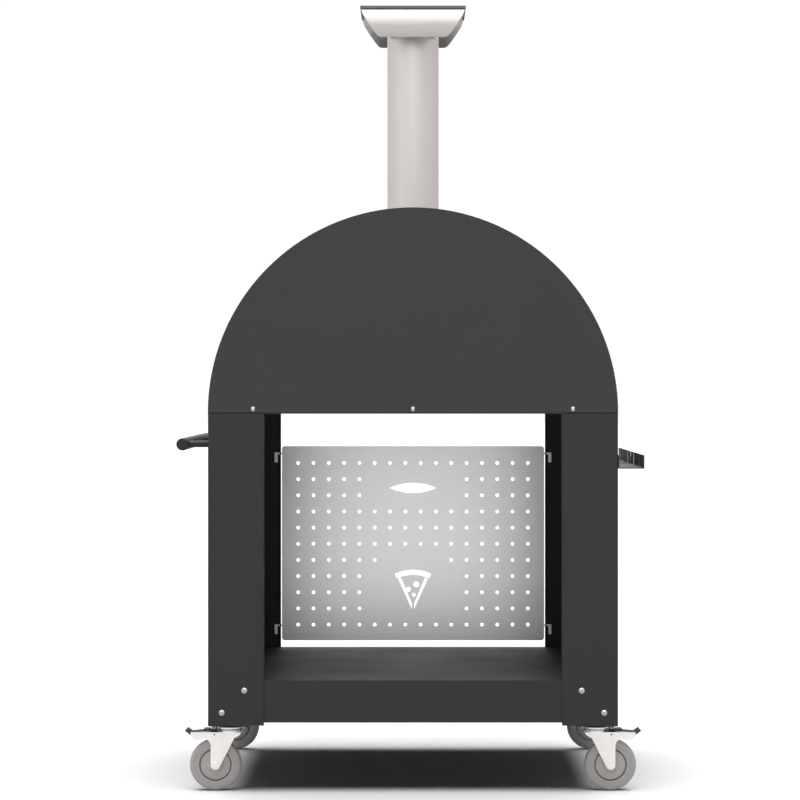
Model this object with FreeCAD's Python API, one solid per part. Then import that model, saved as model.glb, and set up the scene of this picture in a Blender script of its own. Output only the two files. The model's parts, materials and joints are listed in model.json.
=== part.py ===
import FreeCAD, Part
import math
import os

# Wood fired pizza oven on a wheeled cart. Millimetres, +Z up, origin on the floor
# under the middle of the footprint. The mouth faces -Y and the plain back faces +Y.
# The push bar is on +X and the peel rack on -X.

V = FreeCAD.Vector

# ---------------------------------------------------------------- driving dimensions
HALF_W = 500.0          # half the body's width
Y_FRONT = -370.0        # outer face of the front
Y_BACK = 430.0          # outer face of the back
T = 3.0                 # folded sheet of the cart and casing
LEG_Z = 164.0           # underside of the side panels
ARCH_Z = 927.0          # spring line of the arched casing
BASE_Z = ARCH_Z - T     # top of the side panels

FLANGE_X = 363.0        # inner edge of each side panel's front and back flange
LIP = 12.0              # hem folded in along the flange's edge
BEND_R = 5.0            # outer radius of the legs' corners
HEM_R = 2.5
BOTTOM_FLANGE = 110.0
TOP_FLANGE = 60.0

SHELF_Z = 274.0         # top of the lower shelf
APRON_Z = 171.0         # lower edge of the shelf's aprons
SHELF_GAP = 0.5
LIP_GAP = 4.0           # room between the shelf and the hems above it

SCREW_R = 7.5           # button head of the frame screws
SCREW_H = 3.2
SHANK_R = 3.0
SHANK_L = 12.0
HOLE_GAP = 0.15
LEG_SCREWS = ((411.0, 249.0), (466.0, 195.0))
SIDE_SCREW_Y = (-300.0, 360.0)
SIDE_SCREW_Z = 240.0
SIDE_SCREW_H = 5.0

TRIM_R = 6.0            # heads of the casing screws
TRIM_H = 2.5
TRIM_SHANK_R = 2.5
TRIM_X = (-390.0, 0.0, 390.0)
TRIM_Z = 935.0
TRAY_RIM = 23.0

# Tool panel hung between the front flanges.
PANEL_HALF = 360.5
PANEL_Z0 = 292.0
PANEL_Z1 = 826.0
PANEL_T = 2.0
PANEL_Y = -364.0
PANEL_CORNER = 8.0
HOLE_R = 5.0
HOLE_DX = 42.1
HOLE_DZ = 44.44
HOLE_COLS = 16
HOLE_TOP_Z = 779.6
OUTER_COLS = (16, 5, 5, 16, 16, 16, 6, 5, 5, 5, 16)   # columns kept at each side, per row
GRIP_Z = 711.0
GRIP_W = 129.0
GRIP_H = 28.0
EAR_TOPS = (336.0, 808.5)
EAR_H = 27.0
EAR_X = (372.0, 380.5)
NECK_H = 5.0
NOTCH_H = 46.0
NOTCH_SEAT = 15.0

# Push bar
BAR_X = 563.0
BAR_Z = 849.0
BAR_R = 15.0
BAR_WALL = 2.0
BAR_Y = (-300.0, 415.0)
BAR_CAP = 5.0
POST_R = 8.25
POST_Y = (-250.0, 365.0)
POST_FOOT_R = 15.0

# Peel rack
RACK_X = 564.0
RACK_Z = 790.0
RACK_TOP = 823.0
RACK_Y = (-310.0, 430.0)
RACK_MID = 60.0
RACK_SLOTS = ((-270.0, 30.0), (-87.0, 38.0), (87.0, 38.0), (270.0, 30.0))
RACK_SLOT_X = 522.0
RACK_V_TOP = 46.0
RACK_V_LOW = 26.0
RACK_SCREW_Y = (-120.0, 60.0, 240.0)
RACK_SCREW_Z = 810.0

# Oven chamber, all arcs share the casing's axis.
VAULT_R = 415.0
VAULT_T = 5.0
CHAMBER_Y = (-209.0, 371.0)
WALL_T = 4.0
BOARD_Z = ARCH_Z + 50.0
FLOOR_Z = 1010.0
WOOL_R = 496.0
TILE_GAP = 1.5
MOUTH_HALF = 250.0
MOUTH_SIDE_Z = 1112.0
MOUTH_TOP_Z = 1240.0
INNER_MOUTH_HALF = 240.0
INNER_SIDE_Z = 1095.0
INNER_TOP_Z = 1205.0
HOOD_HALF = 265.0
HOOD_TOP = 1300.0
SILL_Y = -425.0
SILL_T = 3.0
SILL_LIP = 22.0

# Flue and cowl
FLUE_Y = -290.0
FLUE_R = 70.0
FLUE_WALL = 1.5
FLUE_TOP = 1950.0
COLLAR_R = 80.0
COLLAR_TOP = 1468.0
COWL_Z = 1967.0         # axis of the curve of the cowl's plates
COWL_R = 118.0
COWL_T = 1.5
LID_TOP = 2009.0
LID_HALF_X = 141.5
LID_HALF_Y = 118.0
LID_RIM = 7.0
COWL_EDGE = ((138.5, 2007.0), (138.0, 1996.0), (132.5, 1983.0), (121.5, 1966.0), (114.0, 1955.0),
             (103.5, 1940.0), (95.0, 1930.0), (90.5, 1927.0), (86.0, 1926.0))
STRAP_X = 52.0
STRAP_Z = 1932.0
STRAP_W = 14.0
STRAP_T = 2.0
RIVET_R = 4.0

# Door
DOOR_LAP = 14.0
DOOR_T = 3.0
PLUG_D = 24.0
PLUG_GAP = 4.0
GRIP_BAR_R = 14.0
GRIP_BAR_HALF = 110.0
GRIP_BAR_Z = 1135.0
GRIP_REACH = 46.0
GRIP_POST_X = 85.0
GRIP_POST_R = 6.0

# Thermometer
DIAL_X = 330.0
DIAL_Z = 1120.0
CASE_R = 34.0
CASE_D = 20.0
CASE_WALL = 2.5
DIAL_T = 1.5
DIAL_R = 31.0
LENS_T = 2.0
PROBE_R = 4.0
PROBE_TIP = -178.0
NEEDLE_R = 1.0
NEEDLE_L = 23.0
RUNNING = 0.05

# Casters
CASTER_X = 449.0
CASTER_Y = (-320.0, 380.0)
TRAIL = 35.0
WHEEL_R = 63.5
WHEEL_W = 32.0
HUB_R = 38.0
HUB_W = 34.0
AXLE_R = 5.0
PLATE_X = 51.0
PLATE_Y = 42.5
BOLT_DX = 36.0
BOLT_DY = 30.0
BOLT_R = 4.0
KINGPIN_R = 6.0
RACE_R = 28.7
RACE_Z = (148.4, 156.0)
NECK_R = 24.0
CROWN_Z = 144.0
CROWN_T = 3.0
CROWN_U = (-27.0, 30.5)
FORK_IN = 19.0
FORK_T = 3.0
FORK_SIDE = ((-27.0, 144.0), (95.5, 144.0), (95.5, 138.5), (91.0, 129.5), (84.0, 124.5), (72.0, 125.5),
             (62.0, 127.5), (55.5, 126.0), (50.0, 121.5), (46.5, 113.5), (46.5, WHEEL_R), (TRAIL, WHEEL_R),
             (24.7, 58.3), (-11.5, 130.0), (-22.0, 135.0), (-26.5, 139.5))
FORK_TIP_R = 11.5
PEDAL_AXIS = (37.0, 138.5)
PEDAL_PIN_R = 2.0
PEDAL_PIN_END = 0.5     # how far the pin stands out of each cheek
PEDAL_HALF = 13.0
PEDAL_SIDE = ((32.0, 136.5), (34.0, 134.2), (40.0, 134.2), (42.5, 137.5), (46.5, 145.6), (65.0, 145.2),
              (90.0, 142.6), (97.0, 136.2), (110.5, 146.2), (104.5, 153.0), (92.5, 145.3), (65.0, 148.2),
              (63.0, 152.3), (49.0, 152.3), (47.5, 148.6), (32.0, 148.2))


# ---------------------------------------------------------------- small shape helpers
def box(x0, x1, y0, y1, z0, z1):
    """Box between two corners given in any order along X."""
    return Part.makeBox(abs(x1 - x0), y1 - y0, z1 - z0, V(min(x0, x1), y0, z0))


def rod(r, start, end):
    """Cylinder of radius r between two points."""
    a = V(*start)
    b = V(*end)
    return Part.makeCylinder(r, (b - a).Length, a, b - a)


def prism(points, normal, depth):
    """Straight prism on a closed outline of 3-D points."""
    wire = Part.makePolygon([V(*p) for p in points] + [V(*points[0])])
    return Part.Face(wire).extrude(V(*normal) * depth)


def join(shapes):
    """One solid from touching shapes, with coplanar faces merged."""
    return shapes[0].multiFuse(shapes[1:]).removeSplitter()


def half_disc(r, z0, y0, y1):
    """Part of a cylinder about the casing's axis that lies above z0."""
    disc = Part.makeCylinder(r, y1 - y0, V(0, y0, ARCH_Z), V(0, 1, 0))
    return disc.common(box(-r - 1, r + 1, y0, y1, z0, ARCH_Z + r + 1))


def arch(half, z0, side_z, top_z, y0, y1):
    """Arched slab: straight sides up to side_z, then one arc over the top."""
    left_low, right_low = V(-half, y0, z0), V(half, y0, z0)
    left_up, right_up = V(-half, y0, side_z), V(half, y0, side_z)
    edges = [Part.makeLine(left_low, right_low), Part.makeLine(right_low, right_up),
             Part.Arc(right_up, V(0, y0, top_z), left_up).toShape(), Part.makeLine(left_up, left_low)]
    return Part.Face(Part.Wire(edges)).extrude(V(0, y1 - y0, 0))


def screw(head_r, head_h, shank_r, shank_l, at, out):
    """Round-headed screw whose head sits on point at and faces the direction out."""
    o = V(*out)
    base = V(*at)
    head = Part.makeCylinder(head_r, head_h, base, o)
    rim = [e for e in head.Edges if e.Closed and (e.CenterOfMass - base).dot(o) > head_h * 0.5]
    head = head.makeFillet(head_h * 0.6, rim)
    return head.fuse(Part.makeCylinder(shank_r, shank_l, base - o * shank_l, o)).removeSplitter()


def drilled(shape, r, points, along, reach):
    """Shape with a round hole at each point, running reach both ways."""
    a = V(*along)
    tools = [Part.makeCylinder(r, 2 * reach, V(*p) - a * reach, a) for p in points]
    return shape.cut(Part.makeCompound(tools))


def export(node, shape):
    shape.exportStep(os.path.join("parts", node + ".step"))


# ---------------------------------------------------------------- cart
def leg_screw_points(side):
    return [(side * x, y, z) for y in (Y_FRONT, Y_BACK) for x, z in LEG_SCREWS]


def side_screw_points():
    return [(HALF_W, y, SIDE_SCREW_Z) for y in SIDE_SCREW_Y]


def rack_screw_points():
    return [(-HALF_W - T, y, RACK_SCREW_Z) for y in RACK_SCREW_Y]


def post_points():
    return [(HALF_W, y, BAR_Z) for y in POST_Y]


def caster_bolt_points(side):
    return [(side * CASTER_X + dx, y + dy, LEG_Z)
            for y in CASTER_Y for dx in (-BOLT_DX, BOLT_DX) for dy in (-BOLT_DY, BOLT_DY)]


def upright_edges(shape, x):
    """Vertical edges at x on the front's and back's outer faces."""
    found = []
    for e in shape.Edges:
        a, b = e.Vertexes[0].Point, e.Vertexes[-1].Point
        on_face = min(abs(a.y - Y_FRONT), abs(a.y - Y_BACK)) < 0.01
        if on_face and abs(a.x - x) < 0.01 and abs(b.x - x) < 0.01 and abs(a.y - b.y) < 0.01:
            found.append(e)
    return found


def side_panel(side):
    web = box(side * (HALF_W - T), side * HALF_W, Y_FRONT, Y_BACK, LEG_Z, BASE_Z)
    sheets = [web]
    for outer, inner in ((Y_FRONT, Y_FRONT + T), (Y_BACK - T, Y_BACK)):
        sheets.append(box(side * FLANGE_X, side * HALF_W, outer, inner, LEG_Z, BASE_Z))
    for y0, y1 in ((Y_FRONT, Y_FRONT + LIP), (Y_BACK - LIP, Y_BACK)):
        sheets.append(box(side * FLANGE_X, side * (FLANGE_X + T), y0, y1, SHELF_Z + LIP_GAP, BASE_Z))
    sheets.append(box(side * (HALF_W - BOTTOM_FLANGE), side * HALF_W, Y_FRONT, Y_BACK, LEG_Z, LEG_Z + T))
    sheets.append(box(side * (HALF_W - TOP_FLANGE), side * HALF_W, Y_FRONT, Y_BACK, BASE_Z - T, BASE_Z))
    panel = join(sheets)
    for x, radius in ((HALF_W, BEND_R), (FLANGE_X, HEM_R)):
        panel = panel.makeFillet(radius, upright_edges(panel, side * x))
    for top in EAR_TOPS:
        seat = top - NECK_H
        x0, x1 = side * (FLANGE_X - 1), side * (FLANGE_X + T + 1)
        pocket = box(x0, x1, PANEL_Y - 2, PANEL_Y + PANEL_T + 0.7, seat, seat + NOTCH_H)
        way_in = box(x0, x1, PANEL_Y - 2, Y_FRONT + LIP + 1, seat + NOTCH_SEAT, seat + NOTCH_H)
        panel = panel.cut(pocket.fuse(way_in))
    panel = drilled(panel, SHANK_R + HOLE_GAP, leg_screw_points(side), (0, 1, 0), 8)
    if side > 0:
        panel = drilled(panel, SHANK_R + HOLE_GAP, side_screw_points(), (1, 0, 0), 8)
    panel = drilled(panel, BOLT_R + HOLE_GAP, caster_bolt_points(side), (0, 0, 1), 8)
    side_holes = rack_screw_points() if side < 0 else post_points()
    return drilled(panel, SHANK_R + HOLE_GAP, side_holes, (1, 0, 0), 8)


def shelf_tray():
    half = HALF_W - T - SHELF_GAP
    y0, y1 = Y_FRONT + T, Y_BACK - T
    sheets = [box(-half, half, y0, y1, SHELF_Z - T, SHELF_Z),
              box(-half, half, y0, y0 + T, APRON_Z, SHELF_Z),
              box(-half, half, y1 - T, y1, APRON_Z, SHELF_Z),
              box(-half, -half + T, y0, y1, APRON_Z, SHELF_Z),
              box(half - T, half, y0, y1, APRON_Z, SHELF_Z)]
    tray = join(sheets)
    for side in (-1, 1):
        tray = drilled(tray, SHANK_R + HOLE_GAP, leg_screw_points(side), (0, 1, 0), 8)
    return drilled(tray, SHANK_R + HOLE_GAP, side_screw_points(), (1, 0, 0), 8)


def frame_screws():
    parts = []
    for side in (-1, 1):
        for p in leg_screw_points(side):
            parts.append(screw(SCREW_R, SCREW_H, SHANK_R, SHANK_L, p, (0, 1 if p[1] > 0 else -1, 0)))
    for p in side_screw_points():
        parts.append(screw(SCREW_R, SIDE_SCREW_H, SHANK_R, SHANK_L, p, (1, 0, 0)))
    for p in rack_screw_points():
        parts.append(screw(SCREW_R, SCREW_H, SHANK_R, SHANK_L, p, (-1, 0, 0)))
    return Part.makeCompound(parts)


def pictogram():
    """Cut-outs of a generic pizza slice: crust arc, two sides and three round toppings."""
    y = PANEL_Y - 1
    depth = PANEL_T + 2
    cuts = []
    crust = Part.makeCylinder(118.0, depth, V(0, y, 368.0), V(0, 1, 0))
    crust = crust.cut(Part.makeCylinder(104.0, depth, V(0, y, 368.0), V(0, 1, 0)))
    cuts.append(crust.common(prism(((0, y, 368.0), (62, y, 500.0), (-62, y, 500.0)), (0, 1, 0), depth)))
    for side in (-1, 1):
        cuts.append(prism(((side * 3.0, y, 378.0), (side * 40.5, y, 461.0), (side * 33.0, y, 464.0),
                           (0.0 + side * 3.0, y, 394.0)), (0, 1, 0), depth))
    for x, z, r in ((-9.0, 446.0, 8.0), (13.0, 432.0, 7.0), (-2.0, 417.0, 5.5)):
        cuts.append(Part.makeCylinder(r, depth, V(x, y, z), V(0, 1, 0)))
    return Part.makeCompound(cuts)


def tool_panel():
    y0, y1 = PANEL_Y, PANEL_Y + PANEL_T
    plate = box(-PANEL_HALF, PANEL_HALF, y0, y1, PANEL_Z0, PANEL_Z1)
    corners = [e for e in plate.Edges if abs(e.Vertexes[0].Y - e.Vertexes[1].Y) > 1]
    plate = plate.makeFillet(PANEL_CORNER, corners)
    ears = []
    for side in (-1, 1):
        for top in EAR_TOPS:
            ears.append(box(side * (PANEL_HALF - 4), side * EAR_X[1], y0, y1, top - NECK_H, top))
            ears.append(box(side * EAR_X[0], side * EAR_X[1], y0, y1, top - EAR_H, top))
    plate = join([plate] + ears)
    holes = []
    for row, keep in enumerate(OUTER_COLS):
        for col in range(HOLE_COLS):
            if col < keep or col >= HOLE_COLS - keep:
                x = (col - (HOLE_COLS - 1) / 2.0) * HOLE_DX
                holes.append((x, y0, HOLE_TOP_Z - row * HOLE_DZ))
    plate = drilled(plate, HOLE_R, holes, (0, 1, 0), 6)
    lens_r = (GRIP_W ** 2 / 4 + GRIP_H ** 2 / 4) / GRIP_H
    lens = Part.makeCylinder(lens_r, 6, V(0, y0 - 2, GRIP_Z + GRIP_H / 2 - lens_r), V(0, 1, 0))
    lens = lens.common(Part.makeCylinder(lens_r, 6, V(0, y0 - 2, GRIP_Z - GRIP_H / 2 + lens_r), V(0, 1, 0)))
    return plate.cut(lens).cut(pictogram())


def push_bar():
    y0, y1 = BAR_Y
    tube = rod(BAR_R, (BAR_X, y0, BAR_Z), (BAR_X, y1, BAR_Z))
    return tube.cut(rod(BAR_R - BAR_WALL, (BAR_X, y0, BAR_Z), (BAR_X, y1, BAR_Z)))


def push_bar_caps():
    caps = []
    for y, out in ((BAR_Y[0], -1), (BAR_Y[1], 1)):
        disc = rod(BAR_R, (BAR_X, y, BAR_Z), (BAR_X, y + out * BAR_CAP, BAR_Z))
        rim = [e for e in disc.Edges if e.Closed and abs(e.CenterOfMass.y - y) > BAR_CAP / 2]
        disc = disc.makeFillet(2.0, rim)
        plug = rod(BAR_R - BAR_WALL - 0.1, (BAR_X, y - out * 15, BAR_Z), (BAR_X, y, BAR_Z))
        caps.append(disc.fuse(plug).removeSplitter())
    return Part.makeCompound(caps)


def push_bar_posts():
    posts = []
    for y in POST_Y:
        post = rod(POST_R, (HALF_W, y, BAR_Z), (BAR_X, y, BAR_Z))
        foot = rod(POST_FOOT_R, (HALF_W, y, BAR_Z), (HALF_W + 3, y, BAR_Z))
        stud = rod(SHANK_R, (HALF_W - 9, y, BAR_Z), (HALF_W, y, BAR_Z))
        nut = rod(6.5, (HALF_W - T - 6, y, BAR_Z), (HALF_W - T, y, BAR_Z))
        body = join([post, foot, stud, nut])
        posts.append(body.cut(rod(BAR_R, (BAR_X, y - 20, BAR_Z), (BAR_X, y + 20, BAR_Z))))
    return Part.makeCompound(posts)


def peel_rack():
    y0, y1 = RACK_Y
    sheets = [box(-RACK_X, -HALF_W, y0, y1, RACK_Z, RACK_Z + T),
              box(-HALF_W - T, -HALF_W, y0, y1, RACK_Z, RACK_TOP),
              box(-RACK_X, -RACK_X + T, y0, y1, RACK_Z, RACK_TOP)]
    rack = join(sheets)
    for offset, width in RACK_SLOTS:
        y = RACK_MID + offset
        slot_x = -RACK_SLOT_X - width / 2
        cut = box(-RACK_X - 5, slot_x, y - width / 2, y + width / 2, RACK_Z - 5, RACK_TOP + 5)
        end = rod(width / 2, (slot_x, y, RACK_Z - 5), (slot_x, y, RACK_Z + 8))
        rack = rack.cut(cut.fuse(end))
    low, top = RACK_V_LOW / 2, RACK_V_TOP / 2
    notch = prism(((-RACK_X - 5, RACK_MID - low, RACK_Z + T), (-RACK_X - 5, RACK_MID + low, RACK_Z + T),
                   (-RACK_X - 5, RACK_MID + top, RACK_TOP + 1), (-RACK_X - 5, RACK_MID - top, RACK_TOP + 1)),
                  (1, 0, 0), 12)
    slot_x = -RACK_SLOT_X - low
    floor_cut = box(-RACK_X - 5, slot_x, RACK_MID - low, RACK_MID + low, RACK_Z - 5, RACK_Z + T + 1)
    end = rod(low, (slot_x, RACK_MID, RACK_Z - 5), (slot_x, RACK_MID, RACK_Z + 8))
    rack = rack.cut(notch.fuse(floor_cut).fuse(end))
    return drilled(rack, SHANK_R + HOLE_GAP, rack_screw_points(), (1, 0, 0), 6)


def hexagon(x, y, z0, z1, across):
    r = across / math.sqrt(3)
    ring = [(x + r * math.cos(math.radians(60 * k)), y + r * math.sin(math.radians(60 * k)), z0)
            for k in range(6)]
    return prism(ring, (0, 0, 1), z1 - z0)


def caster_bolts():
    bolts = []
    for side in (-1, 1):
        for x, y, z in caster_bolt_points(side):
            shank = rod(BOLT_R, (x, y, z - T - 7.5), (x, y, z + T))
            head = hexagon(x, y, z + T, z + T + 5, 13.0)
            nut = hexagon(x, y, z - T - 6.5, z - T, 13.0)
            bolts.append(join([shank, head, nut]))
    return Part.makeCompound(bolts)


# ---------------------------------------------------------------- oven casing and chamber
def trim_points(y):
    return [(x, y, TRIM_Z) for x in TRIM_X]


def base_tray():
    half = 480.0
    sheets = [box(-HALF_W, HALF_W, Y_FRONT, Y_BACK - T, BASE_Z, ARCH_Z),
              box(-half, half, Y_BACK - 2 * T, Y_BACK - T, ARCH_Z, ARCH_Z + TRAY_RIM),
              box(-half, half, Y_FRONT + T, Y_FRONT + 2 * T, ARCH_Z, ARCH_Z + TRAY_RIM)]
    tray = join(sheets)
    points = trim_points(Y_BACK) + trim_points(Y_FRONT)
    return drilled(tray, TRIM_SHANK_R + HOLE_GAP, points, (0, 1, 0), 9)


def insulation_board():
    return box(-478, 478, Y_FRONT + 2 * T + 5, Y_BACK - 2 * T - 5, ARCH_Z, BOARD_Z)


def floor_tiles():
    """Six tiles under the fire and food, and one block under the mouth's threshold."""
    half = 0.5 * TILE_GAP
    side = math.sqrt(VAULT_R ** 2 - (BOARD_Z - ARCH_Z) ** 2)
    reach = math.sqrt(VAULT_R ** 2 - (FLOOR_Z - ARCH_Z) ** 2) - 1.0
    mid_y = sum(CHAMBER_Y) / 2.0
    third = reach / 3
    tiles = []
    for x0, x1 in ((-min(side, reach), -third - half), (-third + half, third - half),
                   (third + half, min(side, reach))):
        for y0, y1 in ((CHAMBER_Y[0], mid_y - half), (mid_y + half, CHAMBER_Y[1])):
            tiles.append(box(x0, x1, y0, y1, BOARD_Z, FLOOR_Z))
    tiles.append(box(-HOOD_HALF + T + 1, HOOD_HALF - T - 1, Y_FRONT + T, CHAMBER_Y[0] - WALL_T,
                     BOARD_Z, FLOOR_Z - SILL_T))
    return Part.makeCompound(tiles)


def vault():
    outer = half_disc(VAULT_R + VAULT_T, BOARD_Z, *CHAMBER_Y)
    return outer.cut(half_disc(VAULT_R, BOARD_Z - 1, *CHAMBER_Y))


def chamber_back():
    return half_disc(VAULT_R + VAULT_T, BOARD_Z, CHAMBER_Y[1], CHAMBER_Y[1] + WALL_T)


def chamber_front():
    y0, y1 = CHAMBER_Y[0] - WALL_T, CHAMBER_Y[0]
    wall = half_disc(VAULT_R + VAULT_T, BOARD_Z, y0, y1)
    wall = wall.cut(arch(INNER_MOUTH_HALF, FLOOR_Z - SILL_T, INNER_SIDE_Z, INNER_TOP_Z, y0 - 1, y1 + 1))
    return drilled(wall, PROBE_R + HOLE_GAP, [(DIAL_X, y0, DIAL_Z)], (0, 1, 0), 9)


def insulation_wool():
    """Wool round the vault, behind the chamber and beside the smoke hood."""
    y_in0, y_in1 = CHAMBER_Y[0] - WALL_T, CHAMBER_Y[1] + WALL_T
    ring = half_disc(WOOL_R, BOARD_Z + 1, y_in0, y_in1)
    ring = ring.cut(half_disc(VAULT_R + VAULT_T + 1, BOARD_Z, y_in0, y_in1))
    rear = half_disc(WOOL_R, BOARD_Z + 1, y_in1, Y_BACK - T)
    front = half_disc(WOOL_R, BOARD_Z + 1, Y_FRONT + T, y_in0)
    front = front.cut(box(-HOOD_HALF - 1, HOOD_HALF + 1, Y_FRONT, y_in0 + 1, BOARD_Z, HOOD_TOP + 1))
    front = front.cut(rod(FLUE_R + 1, (0, FLUE_Y, HOOD_TOP - 5), (0, FLUE_Y, ARCH_Z + WOOL_R + 5)))
    front = drilled(front, PROBE_R + 1, [(DIAL_X, Y_FRONT, DIAL_Z)], (0, 1, 0), 200)
    return Part.makeCompound([ring, rear, front])


def roof_shell():
    y0, y1 = Y_FRONT + T, Y_BACK - T
    shell = half_disc(HALF_W, ARCH_Z, y0, y1).cut(half_disc(HALF_W - T, ARCH_Z - 1, y0, y1))
    return shell.cut(rod(FLUE_R + 2, (0, FLUE_Y, HOOD_TOP), (0, FLUE_Y, ARCH_Z + HALF_W + 10)))


def back_panel():
    plate = half_disc(HALF_W, ARCH_Z, Y_BACK - T, Y_BACK)
    return drilled(plate, TRIM_SHANK_R + HOLE_GAP, trim_points(Y_BACK), (0, 1, 0), 8)


def facade():
    y0, y1 = Y_FRONT, Y_FRONT + T
    plate = half_disc(HALF_W, ARCH_Z, y0, y1)
    plate = plate.cut(arch(MOUTH_HALF, FLOOR_Z - SILL_T - 0.2, MOUTH_SIDE_Z, MOUTH_TOP_Z, y0 - 1, y1 + 1))
    plate = drilled(plate, TRIM_SHANK_R + HOLE_GAP, trim_points(Y_FRONT), (0, 1, 0), 8)
    return drilled(plate, PROBE_R + HOLE_GAP, [(DIAL_X, Y_FRONT, DIAL_Z)], (0, 1, 0), 8)


def trim_screws():
    parts = []
    for y, out in ((Y_BACK, 1), (Y_FRONT, -1)):
        for p in trim_points(y):
            parts.append(screw(TRIM_R, TRIM_H, TRIM_SHANK_R, 9.0, p, (0, out, 0)))
    return Part.makeCompound(parts)


def sill():
    half = MOUTH_HALF - 1
    top = box(-half, half, SILL_Y, CHAMBER_Y[0] - 0.5, FLOOR_Z - SILL_T, FLOOR_Z)
    inner = box(-half, half, CHAMBER_Y[0] - WALL_T - 1, CHAMBER_Y[0] + 1, FLOOR_Z - SILL_T - 1, FLOOR_Z + 1)
    narrow = inner.cut(box(-INNER_MOUTH_HALF + 1, INNER_MOUTH_HALF - 1, CHAMBER_Y[0] - 9, CHAMBER_Y[0] + 9,
                           FLOOR_Z - SILL_T - 2, FLOOR_Z + 2))
    lip = box(-half, half, SILL_Y, SILL_Y + SILL_T, FLOOR_Z - SILL_LIP, FLOOR_Z)
    return join([top, lip]).cut(narrow)


def smoke_hood():
    y0, y1 = Y_FRONT + T, CHAMBER_Y[0] - WALL_T
    sheets = [box(-HOOD_HALF, HOOD_HALF, y0, y1, HOOD_TOP - T, HOOD_TOP),
              box(-HOOD_HALF, -HOOD_HALF + T, y0, y1, BOARD_Z, HOOD_TOP),
              box(HOOD_HALF - T, HOOD_HALF, y0, y1, BOARD_Z, HOOD_TOP)]
    hood = join(sheets)
    return hood.cut(rod(FLUE_R + 0.1, (0, FLUE_Y, HOOD_TOP - 9), (0, FLUE_Y, HOOD_TOP + 9)))


# ---------------------------------------------------------------- flue and cowl
def flue_pipe():
    z0 = HOOD_TOP - T - 2
    tube = rod(FLUE_R, (0, FLUE_Y, z0), (0, FLUE_Y, FLUE_TOP))
    return tube.cut(rod(FLUE_R - FLUE_WALL, (0, FLUE_Y, z0 - 1), (0, FLUE_Y, FLUE_TOP + 1)))


def flue_collar():
    z0 = ARCH_Z + HALF_W - 20
    ring = rod(COLLAR_R, (0, FLUE_Y, z0), (0, FLUE_Y, COLLAR_TOP))
    rim = [e for e in ring.Edges if e.Closed and e.CenterOfMass.z > COLLAR_TOP - 1]
    ring = ring.makeFillet(4.0, rim)
    flange = rod(COLLAR_R + 25, (0, FLUE_Y, z0), (0, FLUE_Y, ARCH_Z + HALF_W + 6))
    skin = Part.makeCylinder(HALF_W + 2.5, 400, V(0, FLUE_Y - 200, ARCH_Z), V(0, 1, 0))
    body = ring.fuse(flange.common(skin))
    body = body.cut(rod(FLUE_R + 0.3, (0, FLUE_Y, z0 - 1), (0, FLUE_Y, COLLAR_TOP + 1)))
    skin = Part.makeCylinder(HALF_W + 0.05, 400, V(0, FLUE_Y - 200, ARCH_Z), V(0, 1, 0))
    return body.cut(skin).removeSplitter()


def rivet_frame(sx, sy):
    """Point on the cowl plate and the outward direction there, for one rivet."""
    drop = COWL_Z - STRAP_Z - 3.5
    angle = math.asin(drop / COWL_R)
    out = V(0, sy * math.cos(angle), -math.sin(angle))
    return V(sx * STRAP_X, FLUE_Y, COWL_Z) + out * COWL_R, out


def cowl_plates():
    right = [(x, FLUE_Y - 200, z) for x, z in COWL_EDGE]
    left = [(-x, y, z) for x, y, z in reversed(right)]
    window = prism(right + left, (0, 1, 0), 400)
    tube = Part.makeCylinder(COWL_R, 400, V(-200, FLUE_Y, COWL_Z), V(1, 0, 0))
    tube = tube.cut(Part.makeCylinder(COWL_R - COWL_T, 400, V(-200, FLUE_Y, COWL_Z), V(1, 0, 0)))
    skin = tube.common(window)
    for sx in (-1, 1):
        for sy in (-1, 1):
            at, out = rivet_frame(sx, sy)
            skin = skin.cut(Part.makeCylinder(2.1, 12, at - out * 6, out))
    return Part.makeCompound(skin.Solids)


def cowl_lid():
    top = box(-LID_HALF_X, LID_HALF_X, FLUE_Y - LID_HALF_Y, FLUE_Y + LID_HALF_Y,
              LID_TOP - LID_RIM, LID_TOP)
    inner = box(-LID_HALF_X + 1.5, LID_HALF_X - 1.5, FLUE_Y - LID_HALF_Y + 2, FLUE_Y + LID_HALF_Y - 2,
                LID_TOP - LID_RIM - 1, LID_TOP - 2)
    return top.cut(inner)


def cowl_straps():
    """Four flat straps from the flue to the cowl's plates, each with its rivet."""
    pipe = rod(FLUE_R, (0, FLUE_Y, 1900), (0, FLUE_Y, FLUE_TOP + 5))
    inside = Part.makeCylinder(COWL_R - COWL_T, 400, V(-200, FLUE_Y, COWL_Z), V(1, 0, 0))
    parts = []
    for sx in (-1, 1):
        for sy in (-1, 1):
            y0, y1 = sorted((FLUE_Y + sy * 35, FLUE_Y + sy * COWL_R))
            x0, x1 = sx * (STRAP_X - STRAP_W / 2), sx * (STRAP_X + STRAP_W / 2)
            strap = box(x0, x1, y0, y1, STRAP_Z - STRAP_T / 2, STRAP_Z + STRAP_T / 2)
            foot = Part.makeCylinder(COWL_R - COWL_T, STRAP_W, V(min(x0, x1), FLUE_Y, COWL_Z), V(1, 0, 0))
            foot = foot.cut(Part.makeCylinder(COWL_R - COWL_T - 2, STRAP_W, V(min(x0, x1), FLUE_Y, COWL_Z),
                                              V(1, 0, 0)))
            foot = foot.common(box(x0, x1, y0, y1, STRAP_Z - STRAP_T / 2, STRAP_Z + 12))
            at, out = rivet_frame(sx, sy)
            shank = Part.makeCylinder(2.0, 6, at - out * 3, out)
            head = Part.makeCylinder(RIVET_R, 2, at + out * 0.1, out)
            parts.append(join([strap.common(inside).cut(pipe), foot, shank, head]))
    return Part.makeCompound(parts)


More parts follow.
